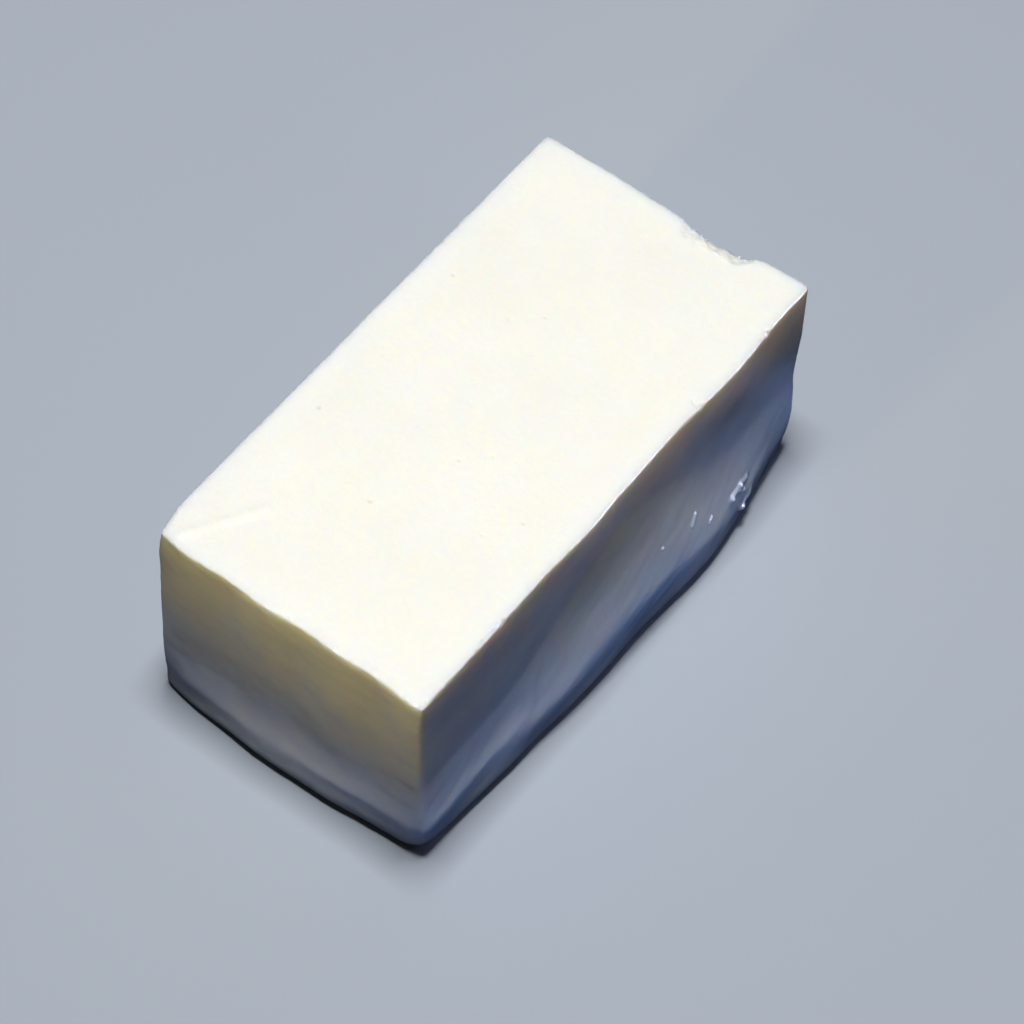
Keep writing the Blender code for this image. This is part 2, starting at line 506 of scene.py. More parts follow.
def over_top(co):
    """True for a place over the top, with its rim."""
    return TOP_LOW.x < co.x < TOP_HIGH.x and TOP_LOW.y < co.y < TOP_HIGH.y


print("The rim has", len(rim_places), "corners")

# %% [markdown]
# The rows at the rim need more corners along them than the rest. Only the edges that run along the
# rim are cut in two, so each face there becomes two and the rest of the skin stays as it is.

# %% Cut the rim finer
RIM_REACH = 0.6 * MM
RIM_CUT_DEPTH = 2.5 * RIM_REACH
RIM_WANDER = 4.0 * MM  # the most that the rim stands in from its own furthest point
ALONG_TO_ACROSS = 3.0  # an edge along the rim goes this many times as far along it as across it


def runs_along_rim(edge):
    """True for an edge near the rim of the top that lies along it."""
    a, b = (corner.co for corner in edge.verts)
    middle = (a + b) / 2
    if middle.z < TOP - RIM_CUT_DEPTH or from_rim(middle) > RIM_REACH:
        return False
    along = b - a
    by_end = min(middle.x - TOP_LOW.x, TOP_HIGH.x - middle.x) < RIM_WANDER
    if by_end and abs(along.y) > ALONG_TO_ACROSS * max(abs(along.x), abs(along.z)):
        return True
    by_side = min(middle.y - TOP_LOW.y, TOP_HIGH.y - middle.y) < RIM_WANDER
    return by_side and abs(along.x) > ALONG_TO_ACROSS * max(abs(along.y), abs(along.z))


start_editing(block, "EDGE")
pick(block, runs_along_rim, "EDGE")
bpy.ops.mesh.subdivide(number_cuts=1, smoothness=0.0)
stop_editing()
print("With a finer rim it has", len(block.data.polygons), "faces")

# %% [markdown]
# ## Tools for relief
#
# Each face of the block has its own unevenness. A sculpted stroke would do for one face, but a
# Displace modifier with a soft cloud texture covers a whole face evenly, and a vertex group keeps
# each to its own face. The cloud is stretched and turned by an empty, which goes again once the
# modifier is applied.

# %% Helpers for relief
def weigh(piece, name, share):
    """Makes a vertex group whose weight at each corner is share(place, normal)."""
    group = piece.vertex_groups.new(name=name)
    count = 0
    for corner in piece.data.vertices:
        weight = share(corner.co, corner.normal)
        if weight > 0.0:
            group.add([corner.index], weight, "REPLACE")
            count += 1
    print(f"{piece.name}: {count} corners in {name}")


def displace(piece, group, height, direction, coloring, depth, grain, turned, start):
    """Moves a group by a cloud. The empty that stretches and turns the cloud goes again afterwards."""
    cloud = bpy.data.textures.new("cloud", "CLOUDS")
    cloud.cloud_type = coloring
    cloud.noise_scale = 1.0
    cloud.noise_depth = depth
    bpy.ops.object.empty_add(location=start, rotation=[math.radians(t) for t in turned])
    guide = bpy.context.object
    guide.scale = grain
    bpy.context.view_layer.update()
    choose(piece)
    relief = piece.modifiers.new("relief", "DISPLACE")
    relief.texture = cloud
    relief.texture_coords = "OBJECT"
    relief.texture_coords_object = guide
    relief.direction = direction
    relief.mid_level = 0.5  # the cloud's middle grey leaves the skin where it is
    relief.strength = 2.0 * height
    relief.vertex_group = group
    bpy.ops.object.modifier_apply(modifier=relief.name)
    bpy.data.objects.remove(guide)
    bpy.data.textures.remove(cloud)


def roughen(piece, group, height, grain, direction, turned=(0.0, 0.0, 0.0), start=(0.0, 0.0, 0.0)):
    """Raises and lowers a group by a soft cloud. grain is the cloud's size along its three axes."""
    displace(piece, group, height, direction, "GRAYSCALE", 1, grain, turned, start)


def crumble(piece, group, height, grain, start=(0.0, 0.0, 0.0)):
    """Moves a group about in all directions by a coloured cloud of that grain."""
    displace(piece, group, height, "RGB_TO_XYZ", "COLOR", 2, [grain] * 3, (0.0, 0.0, 0.0), start)


def shift(piece, group, distance, direction):
    """Moves a group along one axis, each corner by its share of the distance."""
    choose(piece)
    move = piece.modifiers.new("shift", "DISPLACE")
    move.direction = direction
    move.mid_level = 0.0
    move.strength = distance
    move.vertex_group = group
    bpy.ops.object.modifier_apply(modifier=move.name)


# %% [markdown]
# ## Sag
#
# Soft curd sags. Each bulge is given as a profile, which is a share from 0 to 1 that can be read as
# a graph over the height, and the profile becomes the weights of a vertex group. Proportional
# editing would make one round bulge at a time, and these ones run on for the length of a side.

# %% Shares for the sides
def facing(part):
    """Full for a face that looks that way. part is how much of its normal points there."""
    return fade(part, none=0.45, full=0.85)


def beside(gap):
    """Full within 3 mm of a side of the block, so that the foot moves with its side."""
    return fade(gap, none=7.0 * MM, full=3.0 * MM)


# %% [markdown]
# The near end swells a little in its middle and has rolled over near the foot. The roll leans out
# further and further down to a crest, then drops back within a few millimetres, which leaves a
# light band over a dark strip. It goes round the near corner and dies away on the right side.

# %% Swelling and roll
SWELL_HEIGHT = 30.0 * MM
SWELL_HALF = 18.0 * MM
SWELL_HALF_ACROSS = 0.6 * WIDTH
ROLL_AT_LEFT = 7.0 * MM
ROLL_AT_CORNER = 9.5 * MM
ROLL_RISE = 0.10  # how much higher the roll is on the right side for each metre along it
ROLL_BELOW = 4.0 * MM
END_ROLL_ABOVE = 12.0 * MM
END_ROLL_FOOT = 0.55  # how much of the roll is left at the table
BLUNTER_CORNER = 0.35  # how much more of it is left there at the near corner
SIDE_ROLL_ABOVE = 6.0 * MM
SIDE_ROLL_FOOT = 0.35


def roll_profile(z, middle, above, foot):
    """Grows over the height above the crest, then drops back to the foot's share at the table."""
    if z > middle:
        return max(0.0, 1.0 - (z - middle) / above) ** 2
    return 1.0 - (1.0 - foot) * ease((middle - z) / ROLL_BELOW)


def swell_share(co, normal):
    """The middle of the near end."""
    up = hump(co.z, SWELL_HEIGHT, SWELL_HALF)
    return facing(-normal.x) * up * hump(co.y, 0.0, SWELL_HALF_ACROSS)


def end_roll_share(co, normal):
    """The roll along the near end. It starts soft at the left and is blunt at the near corner."""
    across = (block_high.y - co.y) / WIDTH
    middle = ROLL_AT_LEFT + (ROLL_AT_CORNER - ROLL_AT_LEFT) * across
    foot = END_ROLL_FOOT + BLUNTER_CORNER * fade(across, none=0.82, full=0.96)
    profile = roll_profile(co.z, middle, END_ROLL_ABOVE, foot)
    return beside(co.x - block_low.x) * profile * fade(across, none=-0.06, full=0.16)


def side_roll_share(co, normal):
    """The roll goes on round the near corner, rises a little and dies away."""
    along = fade(co.x, none=-24.0 * MM, full=-34.0 * MM)
    middle = ROLL_AT_CORNER + ROLL_RISE * (co.x - block_low.x)
    profile = roll_profile(co.z, middle, SIDE_ROLL_ABOVE, SIDE_ROLL_FOOT)
    return beside(co.y - block_low.y) * profile * along


weigh(block, "swelling", swell_share)
weigh(block, "end roll", end_roll_share)
weigh(block, "side roll", side_roll_share)

# %% [markdown]
# The whole lower part of the right side leans out, from a shoulder that is highest in the middle of
# the block. Near the far end its foot stands in again, and so does the upright edge at the left.

# %% Lean, shoulder and the corners that stand in
LEAN_LOW = 4.0 * MM
SHOULDER_LOW = 22.0 * MM
SHOULDER_RISE = 16.0 * MM
SHOULDER_MIDDLE = 2.0 * MM
SHOULDER_HALF = 38.0 * MM
SHOULDER_APEX = 0.40  # the height where the shoulder stands out most, as a share of its limit
SHOULDER_FAINTEST = 0.3
CORNER_INSET = 2.0 * MM
CORNER_REACH = 9.0 * MM


def shoulder_limit(x):
    """How high the lower part of the right side reaches. It is highest in the middle."""
    return SHOULDER_LOW + SHOULDER_RISE * hump(x, SHOULDER_MIDDLE, SHOULDER_HALF)


def lean_share(co, normal):
    """The lean grows from the shoulder down to a few millimetres above the table."""
    down = fade(co.z, none=shoulder_limit(co.x), full=LEAN_LOW)
    return facing(-normal.y) * down * fade(co.z, none=0.0, full=LEAN_LOW)


def shoulder_share(co, normal):
    """The shoulder starts at once below its limit and is lost again towards the table."""
    limit = shoulder_limit(co.x)
    apex = SHOULDER_APEX * limit
    above = 1.0 - min(max((co.z - apex) / (limit - apex), 0.0), 1.0) ** 2
    below = fade(co.z, none=LEAN_LOW, full=apex)
    middling = hump(co.x, -4.0 * MM, SHOULDER_HALF)
    strength = SHOULDER_FAINTEST + (1.0 - SHOULDER_FAINTEST) * middling
    return facing(-normal.y) * min(above, below) * strength


def far_foot_share(co, normal):
    """The lower part of the right side near the far end, which stands in again."""
    along = fade(co.x, none=18.0 * MM, full=40.0 * MM)
    return beside(co.y - block_low.y) * along * fade(co.z, none=36.0 * MM, full=22.0 * MM)


def left_corner_share(co, normal):
    """The upright edge at the left, which stands in a little above its foot."""
    corner = Vector((block_low.x + CORNER_INSET, block_high.y - CORNER_INSET))
    return nearness((co.xy - corner).length, CORNER_REACH) * hump(co.z, 36.0 * MM, 26.0 * MM)


weigh(block, "lean", lean_share)
weigh(block, "shoulder", shoulder_share)
weigh(block, "far foot", far_foot_share)
weigh(block, "left corner", left_corner_share)

# %% [markdown]
# A Displace modifier without a texture moves a group by its weights alone. All the groups are
# weighed before the first is moved, so that no move changes the share of the next.

# %% Move the groups
shift(block, "swelling", -0.20 * MM, "X")
shift(block, "end roll", -0.75 * MM, "X")
shift(block, "side roll", -0.80 * MM, "Y")
shift(block, "lean", -0.50 * MM, "Y")
shift(block, "shoulder", -1.65 * MM, "Y")
shift(block, "far foot", 0.80 * MM, "Y")
shift(block, "left corner", 0.35 * MM, "X")
shift(block, "left corner", -0.35 * MM, "Y")
print("The block measures", [round(length / MM, 1) for length in block.dimensions], "mm with its sag")

# %% [markdown]
# ## Relief on each face
#
# The near end was against the curd beside it and is lumpy in two sizes, with faint level lines.

# %% Near end: lumps and level lines
def off_the_foot(z):
    """The lowest millimetre has no relief, so that the block stands flat."""
    return fade(z, none=1.0 * MM, full=3.5 * MM)


def near_end_share(co, normal):
    return facing(-normal.x) * off_the_foot(co.z)


weigh(block, "near end", near_end_share)
roughen(block, "near end", 0.15 * MM, (9 * MM, 8 * MM, 6 * MM), "X")
roughen(block, "near end", 0.08 * MM, (2.6 * MM, 3.2 * MM, 2.4 * MM), "X", start=(0.011, 0.0, 0.0))
roughen(block, "near end", 0.05 * MM, (9 * MM, 12 * MM, 1.3 * MM), "X", turned=(-6.0, 0.0, 0.0))

# %% [markdown]
# The right side is a smooth wet skin. Long folds slant across its lower part, where it leans out.

# %% Right side: slanting folds
FOLD_SLANT = 14.0


def right_side_share(co, normal):
    return facing(-normal.y) * fade(co.z, none=1.0 * MM, full=4.0 * MM)


def fold_share(co, normal):
    """The folds keep to the lower part."""
    limit = shoulder_limit(co.x)
    return right_side_share(co, normal) * fade(co.z, none=limit, full=limit - 7.0 * MM)


weigh(block, "right side", right_side_share)
weigh(block, "folds", fold_share)
roughen(block, "right side", 0.10 * MM, (16 * MM, 8 * MM, 9 * MM), "Y", turned=(0.0, -FOLD_SLANT, 0.0))
roughen(block, "folds", 0.11 * MM, (22 * MM, 6 * MM, 3.2 * MM), "Y", turned=(0.0, -FOLD_SLANT, 0.0))
roughen(block, "folds", 0.08 * MM, (8 * MM, 4 * MM, 1.3 * MM), "Y", turned=(0.0, -2 * FOLD_SLANT, 0.0))

# %% [markdown]
# The far end and the left side were cut like the near end. The top is all but flat.

# %% Far end, left side and top
def far_end_share(co, normal):
    return facing(normal.x) * off_the_foot(co.z)


def left_side_share(co, normal):
    return facing(normal.y) * off_the_foot(co.z)


def top_share(co, normal):
    return facing(normal.z)


weigh(block, "far end", far_end_share)
weigh(block, "left side", left_side_share)
weigh(block, "top", top_share)
roughen(block, "far end", 0.15 * MM, (8 * MM, 7 * MM, 5 * MM), "X", start=(0.0, 0.02, 0.0))
roughen(block, "far end", 0.06 * MM, (3 * MM, 3 * MM, 2 * MM), "X", start=(0.0, 0.03, 0.0))
roughen(block, "left side", 0.13 * MM, (14 * MM, 8 * MM, 6 * MM), "Y", turned=(0.0, 8.0, 0.0))
roughen(block, "left side", 0.05 * MM, (4 * MM, 3 * MM, 1.6 * MM), "Y")
roughen(block, "top", 0.05 * MM, (13 * MM, 9 * MM, 9 * MM), "Z")
roughen(block, "top", 0.02 * MM, (3.5 * MM, 3 * MM, 3 * MM), "Z")

# %% [markdown]
# ## Crumbled edges
#
# A knife leaves an edge of soft curd a little ragged, and the far top edge is torn where the
# block was parted from its neighbour. The corners near the rim are moved about in all three
# directions by a coloured cloud, a little all round and far more in the torn place.

# %% Ragged rim and torn edge
RAGGED_REACH = 2.0 * MM
TEAR_FROM = TOP_HIGH.x - 9.0 * MM
TEAR_MIDDLE = -9.5 * MM
TEAR_HALF = 9.5 * MM
TEAR_DEPTH = 7.0 * MM
CHIP_REACH = 2.6 * MM
CHIP_WANDER = 1.6 * MM
CHIP_GRAIN = 2.6 * MM
CHIP_DEPTH = 5.0 * MM
TORN_AT_ALL = 0.02


def rim_share(co, normal):
    """The rim of the top all the way round."""
    return nearness(math.hypot(from_rim(co), TOP - co.z), RAGGED_REACH)


def along_tear(y, steepness):
    """Full in the middle of the torn stretch, and the more steepness the more of it is full."""
    return ease(steepness * (1.0 - abs(y - TEAR_MIDDLE) / TEAR_HALF))


def tear_share(co, normal):
    """The torn place on the far top edge, which reaches a few millimetres down the end."""
    if co.x < TEAR_FROM:
        return 0.0
    down = nearness(TOP - co.z, TEAR_DEPTH)
    return along_tear(co.y, 1.6) * down * fade(from_rim(co), none=3.2 * MM, full=1.2 * MM)


def chip_share(co, normal):
    """The strip of the top that broke away. It slopes down from an inner edge that wanders."""
    if co.x < TEAR_FROM:
        return 0.0
    along = along_tear(co.y, 2.5)
    edge = along * (CHIP_REACH + CHIP_WANDER * noise.noise(co / CHIP_GRAIN))
    inward = from_rim(co) if normal.z > 0.5 else 0.0
    down = nearness(TOP - co.z, CHIP_DEPTH)
    return along * down * min(max((edge - inward) / CHIP_REACH, 0.0), 1.0)


# %% [markdown]
# The torn place is cut finer and its broken strip goes down. Then the corners are moved about, by
# coarse grains first and by fine ones last.

# %% Crumble the edges
start_editing(block, "FACE")
pick(block, lambda face: tear_share(face.calc_center_median(), face.normal) > TORN_AT_ALL, "FACE")
bpy.ops.mesh.subdivide(number_cuts=2)
stop_editing()

weigh(block, "chip", chip_share)
shift(block, "chip", -0.85 * MM, "Z")

weigh(block, "rim", rim_share)
weigh(block, "tear", tear_share)
crumble(block, "rim", 0.15 * MM, 2.4 * MM)
crumble(block, "rim", 0.10 * MM, 0.9 * MM, start=(0.01, 0.0, 0.0))
crumble(block, "tear", 0.65 * MM, 2.2 * MM, start=(0.0, 0.01, 0.0))
crumble(block, "tear", 0.26 * MM, 0.9 * MM, start=(0.0, 0.0, 0.01))
crumble(block, "tear", 0.07 * MM, 0.4 * MM, start=(0.02, 0.0, 0.01))

# %% [markdown]
# ## Pinholes, nicks and the knife's ridge
#
# The small marks of the knife, the air and the water are pushed in or out with proportional
# editing, which moves a few corners and lets their neighbours follow softly. A Boolean would cut
# sharp holes, which wet curd doesn't have. The skin is cut finer around each place first, so that a
# dent is round.

# %% Helpers for dents
def nearest_corners(piece, places):
    """The index of the corner of the piece that is nearest to each place."""
    tree = tree_of([corner.co for corner in piece.data.vertices])
    return [tree.find(place)[1] for place in places]


def cut_finer(piece, places, reach, cuts):
    """Cuts the faces within reach of any of the places finer."""
    tree = tree_of(places)
    start_editing(piece, "FACE")
    pick(piece, lambda face: tree.find(face.calc_center_median())[2] < reach, "FACE")
    bpy.ops.mesh.subdivide(number_cuts=cuts)
    stop_editing()


def push(piece, places, by, reach, falloff="SMOOTH"):
    """Moves the corners at the places, and softly all that lies within reach of them."""
    wanted = set(nearest_corners(piece, places))
    start_editing(piece, "VERT")
    pick(piece, lambda corner: corner.index in wanted, "VERT")
    bpy.ops.transform.translate(
        value=by,
        use_proportional_edit=True,
        proportional_edit_falloff=falloff,
        proportional_size=reach,
    )
    stop_editing()


# %% [markdown]
# Air leaves a few shallow pinholes as the curd sets, most of them towards the middle of the top.
# They come in three sizes, each with its number, its reach and its depth.

# %% Pinholes
PIT_SIZES = ((11, 0.34 * MM, 0.09 * MM), (5, 0.50 * MM, 0.12 * MM), (2, 0.70 * MM, 0.14 * MM))
PIT_SPREAD = 0.30
PIT_MARGIN = 3.0 * MM
PIT_CUT_REACH = 0.95 * MM

chance = random.Random(7)


def top_place():
    """A place on the top, more often near its middle."""
    while True:
        x = chance.gauss(0.0, PIT_SPREAD) * LENGTH
        y = chance.gauss(0.0, PIT_SPREAD) * WIDTH
        place = Vector((x, y, TOP))
        if over_top(place) and from_rim(place) > PIT_MARGIN:
            return place


pits = [[top_place() for _ in range(count)] for count, _, _ in PIT_SIZES]
pit_places = [place for group in pits for place in group]
cut_finer(block, pit_places, PIT_CUT_REACH, cuts=2)
for group, (_, reach, depth) in zip(pits, PIT_SIZES):
    push(block, group, (0.0, 0.0, -depth), reach)
print("Pinholes:", len(pit_places))

# %% [markdown]
# The knife slipped once and left a low ridge by the left corner of the top, and its tip scratched
# the top by the right rim. A sharp short fold stands on the right side near the corner. Each is a
# row of places that are moved together.

# %% Ridge, scratch and fold
RIDGE = (-0.0545, 0.0262, TOP), (-0.0405, 0.0177, TOP)
SCRATCH = (0.0238, -0.0268, TOP), (0.0230, -0.0285, TOP)
FOLD = (-0.0270, block_low.y, 0.0160), (-0.0232, block_low.y, 0.0245)


def line(start, end, step):
    """Places along a line, one step apart."""
    start, end = Vector(start), Vector(end)
    count = max(1, round((end - start).length / step))
    return [start.lerp(end, i / count) for i in range(count + 1)]


ridge = line(*RIDGE, step=0.5 * MM)
push(block, ridge, by=(0.0, 0.0, 0.24 * MM), reach=1.3 * MM)
left_corner = Vector((TOP_LOW.x, TOP_HIGH.y, TOP))
push(block, [left_corner], by=(0.1 * MM, 0.0, -0.15 * MM), reach=3.0 * MM)

scratch = line(*SCRATCH, step=0.3 * MM)
cut_finer(block, scratch, reach=0.6 * MM, cuts=2)
push(block, scratch, by=(0.0, 0.0, -0.26 * MM), reach=0.55 * MM)

fold = line(*FOLD, step=0.5 * MM)
push(block, fold, by=(0.0, -0.14 * MM, 0.0), reach=1.4 * MM)
print("Places along the ridge, the scratch and the fold:", len(ridge), len(scratch), len(fold))

# %% [markdown]
# Whey has gathered low on the right side, near the far end: a wet patch of lumps and creases, two
# short trickles beside it and two specks. Drops of their own would float off a skin that isn't
# flat, so they are raised out of it. A ray from outside finds where the skin is. Each place is given
# as a length along the side and a height.

# %% Wet patch, trickles and specks
LUMPS = ((0.0334, 0.0120), (0.0363, 0.0114), (0.0367, 0.0125), (0.0368, 0.0061))
CREASES = ((0.0336, 0.0122), (0.0392, 0.0122)), ((0.0366, 0.0062), (0.0400, 0.0069))
TRICKLES = ((0.0205, 0.0180), (0.0219, 0.0196)), ((0.0255, 0.0138), (0.0264, 0.0143))
SPECKS = ((0.0112, 0.0210), (0.0382, 0.0098))

skin = block.evaluated_get(bpy.context.evaluated_depsgraph_get())


def on_right_side(x, z):
    """The place on the right side's skin at that length and height."""
    return skin.ray_cast(Vector((x, -WIDTH, z)), Vector((0.0, 1.0, 0.0)))[1]


def along_lines(lines, step):
    """Places on the right side's skin along lines, one step apart."""
    return [on_right_side(x, z) for start, end in lines for x, z in line(start, end, step)]


lumps = [on_right_side(x, z) for x, z in LUMPS]
specks = [on_right_side(x, z) for x, z in SPECKS]
creases = along_lines(CREASES, step=0.5 * MM)
trickles = along_lines(TRICKLES, step=0.25 * MM)
cut_finer(block, lumps + creases + trickles + specks, reach=1.0 * MM, cuts=3)
push(block, creases, by=(0.0, -0.42 * MM, 0.0), reach=1.25 * MM)
push(block, lumps, by=(0.0, -0.50 * MM, 0.05 * MM), reach=1.2 * MM)
push(block, trickles, by=(0.0, -0.34 * MM, 0.0), reach=0.50 * MM, falloff="SPHERE")
push(block, specks, by=(0.0, -0.30 * MM, 0.0), reach=0.50 * MM, falloff="SPHERE")
print("Raised on the right side:", len(lumps), "lumps and", len(specks), "specks")

# %% [markdown]
# The right rim is nicked in three places where crumbs came away, and water stands on it in small
# beads near the corner. One more bead stands on the near corner itself.

# %% Nicks and beads
RIGHT_RIM_Y = TOP_LOW.y + 0.4 * MM
NICKS_AT = (-0.0345, 0.0238, 0.0444)
BEADS_AT = (-0.0495, -0.0462, -0.0435)

nicks = [Vector((x, RIGHT_RIM_Y, TOP)) for x in NICKS_AT]
push(block, nicks, by=(0.0, 0.30 * MM, -0.30 * MM), reach=1.1 * MM)
beads = [Vector((x, RIGHT_RIM_Y, TOP)) for x in BEADS_AT]
push(block, beads, by=(0.0, -0.05 * MM, 0.16 * MM), reach=0.6 * MM)
push(block, [TOP_LOW], by=(0.0, 0.0, 0.14 * MM), reach=1.0 * MM)
print("The finished skin has", sum(len(p.vertices) - 2 for p in block.data.polygons), "triangles")

# %% [markdown]
# ## Crumbs
#
# Where a knife or a torn edge has broken the curd, tiny crumbs stay stuck to the wet skin. They
# are a fifth to half a millimetre across, and none of them is round. Scattering them with a
# particle system would be quicker, but a handful set down one by one lands where the curd was
# broken: at the tear, along the right rim and by the near corner. Each is a small icosphere that is
# squashed and turned, and sunk a third of its size into the skin.

# %% Set the crumbs down
NEAR_X, RIGHT_Y = TOP_LOW.x, TOP_LOW.y
CRUMB_PATCHES = (  # how many, round which place, spread how far each way, and the sizes
    (7, (TOP_HIGH.x - 1.3 * MM, TEAR_MIDDLE), (0.9 * MM, 6.5 * MM), (0.25 * MM, 0.45 * MM)),
    (5, (NEAR_X + 12.0 * MM, RIGHT_Y + 1.0 * MM), (9.0 * MM, 0.5 * MM), (0.20 * MM, 0.36 * MM)),
    (4, (0.0445, RIGHT_Y + 0.9 * MM), (2.2 * MM, 0.5 * MM), (0.22 * MM, 0.40 * MM)),
    (3, (NEAR_X + 0.8 * MM, -0.006), (0.4 * MM, 9.0 * MM), (0.18 * MM, 0.30 * MM)),
)
CRUMB_WIDTHS = (0.75, 1.3)
CRUMB_HEIGHTS = (0.6, 0.95)
CRUMB_TILTS = (-0.5, 0.5)
CRUMB_TURNS = (0.0, 6.28)

chance = random.Random(21)
skin = block.evaluated_get(bpy.context.evaluated_depsgraph_get())
crumbs = []
for count, (x, y), (spread_x, spread_y), sizes in CRUMB_PATCHES:
    for _ in range(count):
        aside = Vector((chance.uniform(-spread_x, spread_x), chance.uniform(-spread_y, spread_y), 0.0))
        over = Vector((x, y, 2 * TOP)) + aside
        hit, place, normal, _ = skin.ray_cast(over, Vector((0.0, 0.0, -1.0)))
        if not hit:
            continue
        size = chance.uniform(*sizes)
        centre = place + normal * size / 6  # half the size less a sixth is the third that is sunk
        bpy.ops.mesh.primitive_ico_sphere_add(subdivisions=3, radius=size / 2, location=centre)
        crumb = bpy.context.object
        across, along = chance.uniform(*CRUMB_WIDTHS), chance.uniform(*CRUMB_WIDTHS)
        crumb.scale = (across, along, chance.uniform(*CRUMB_HEIGHTS))
        tilt, lean = chance.uniform(*CRUMB_TILTS), chance.uniform(*CRUMB_TILTS)
        crumb.rotation_euler = (tilt, lean, chance.uniform(*CRUMB_TURNS))
        crumbs.append(crumb)
print("Crumbs set down:", len(crumbs))

# %% [markdown]
# The crumbs become one mesh with its origin at the block's, and a crumble takes off what is left of
# their roundness.

# %% Join the crumbs
bpy.ops.object.select_all(action="DESELECT")
for crumb in crumbs:
    crumb.select_set(True)
bpy.context.view_layer.objects.active = crumbs[0]
bpy.ops.object.join()
crumbs = bpy.context.object
crumbs.name = "curd_crumbs"
bpy.context.scene.cursor.location = (0.0, 0.0, 0.0)
bpy.ops.object.origin_set(type="ORIGIN_CURSOR")
bpy.ops.object.transform_apply(location=True, rotation=True, scale=True)
weigh(crumbs, "all", lambda co, normal: 1.0)
crumble(crumbs, "all", 0.05 * MM, 0.25 * MM)
print("The crumbs have", sum(len(p.vertices) - 2 for p in crumbs.data.polygons), "triangles")

# %% [markdown]
# ## The curd's finish
#
# Curd is fat and protein in water: light goes in, wanders a few millimetres and comes out again,
# redder where it went furthest. Subsurface scattering gives that, and a thin clear coat gives the
# wet film, which is whole on the sides and broken on the top, where the block has begun to dry.
# The masks come first. Where the skin is hollow, wet or pale follows its shape and not a pattern,
# so it is kept at each corner as an attribute, where the material can read it.

# %% Masks
# How far the painted shade reaches in a pinhole, and how much of it the torn place gets.
PIT_SHADED = 0.9  # the share of a pinhole's reach that is darker
TEAR_SHADED = 0.28
WET_RIM_REACH = 1.5 * MM
WET_RIM = 0.6
# How far in from the rim the painted sheen reaches, and how much of it the crumbs get.
SHEEN_REACH = 9.0 * MM
CRUMB_SHEEN = 0.6


def mark(piece, name, share):
    """Keeps share(place, normal) at each corner as an attribute that a material can read."""
    layer = piece.data.attributes.new(name, "FLOAT", "POINT")
    for corner in piece.data.vertices:
        layer.data[corner.index].value = share(corner.co, corner.normal)
    print(f"{piece.name}: marked where it is {name}")


pit_tree = tree_of(pit_places)
pit_reach = [reach for count, reach, _ in PIT_SIZES for _ in range(count)]


def hollow_share(co, normal):
    """How much painted shade a place gets: 1 in the middle of a pinhole, and less in the torn place."""
    _, index, away = pit_tree.find(co)
    pit = nearness(away, PIT_SHADED * pit_reach[index]) if co.z > TOP - RIM_DEPTH else 0.0
    return max(pit, TEAR_SHADED * tear_share(co, normal))


def wet_share(co, normal):
    """The sides are wet all over. The top is wet along its rim."""
    side_on = fade(normal.z, none=0.85, full=0.35)
    return max(side_on, WET_RIM * nearness(from_rim(co), WET_RIM_REACH))


def rim_sheen_share(co, normal):
    """A band along the rim of the top is painted whiter than its middle, as a painted sheen."""
    return fade(normal.z, none=0.5, full=0.9) * nearness(from_rim(co), SHEEN_REACH)


# The hollow mask carries painted shade and the pale mask a painted sheen.
mark(block, "hollow", hollow_share)
mark(block, "wet", wet_share)
mark(block, "pale", rim_sheen_share)
mark(crumbs, "hollow", lambda co, normal: 0.0)
mark(crumbs, "wet", lambda co, normal: 1.0)
mark(crumbs, "pale", lambda co, normal: CRUMB_SHEEN)

# %% [markdown]
# What changes over the surface comes from one node group, so that any material of curd can share
# it. It is given three creams and the three masks, and puts out a colour, a roughness, a coat and
# a height.

# %% The group and its sockets
CREAM_COLOR = (0.90, 0.885, 0.81, 1.0)
# The milkier white of the faint clouds, which is also the painted sheen along the rim.
MILK_AND_SHEEN_COLOR = (0.91, 0.905, 0.86, 1.0)
# The painted shade in the pinholes and the torn place.
SHADE_COLOR = (0.74, 0.70, 0.56, 1.0)

surface = bpy.data.node_groups.new("curd surface", "ShaderNodeTree")


def add_input(name, kind, value=None):
    """Adds a named socket through which the group is given something."""
    socket = surface.interface.new_socket(name=name, in_out="INPUT", socket_type=kind)
    if value is not None:
        socket.default_value = value


add_input("Vector", "NodeSocketVector")
add_input("Cream", "NodeSocketColor", CREAM_COLOR)
add_input("Milk and sheen", "NodeSocketColor", MILK_AND_SHEEN_COLOR)
add_input("Shade", "NodeSocketColor", SHADE_COLOR)
for name in ("Hollow", "Wet", "Pale"):
    add_input(name, "NodeSocketFloat", 0.0)

surface.interface.new_socket(name="Color", in_out="OUTPUT", socket_type="NodeSocketColor")
for name in ("Roughness", "Coat", "Height"):
    surface.interface.new_socket(name=name, in_out="OUTPUT", socket_type="NodeSocketFloat")

given = add_node(surface, "NodeGroupInput")
print("The group is given", [socket.name for socket in given.outputs if socket.name])

# %% [markdown]
# The cream goes over into a milkier white in faint clouds, and all along the rim it is painted whiter
# as a sheen. It is darker in a hollow, which is painted shade. The wet film is broken on the top and
# nearly whole on the sides, and where it lies the curd is smoother. The height is a fine grain on
# slower swells.

# %% Colour, film and grain
CLOUD_SCALE, PATCH_SCALE, SWELL_SCALE, GRAIN_SCALE = 70.0, 120.0, 700.0, 2600.0  # blotches to the metre
MILKIEST = 0.65
DRY_FILM = 0.7  # what is left of the film on a wet place where it is broken
TOP_FILM = 0.12
DRY_ROUGHNESS, WET_ROUGHNESS = 0.52, 0.34
GRAIN_SHARE = 0.35


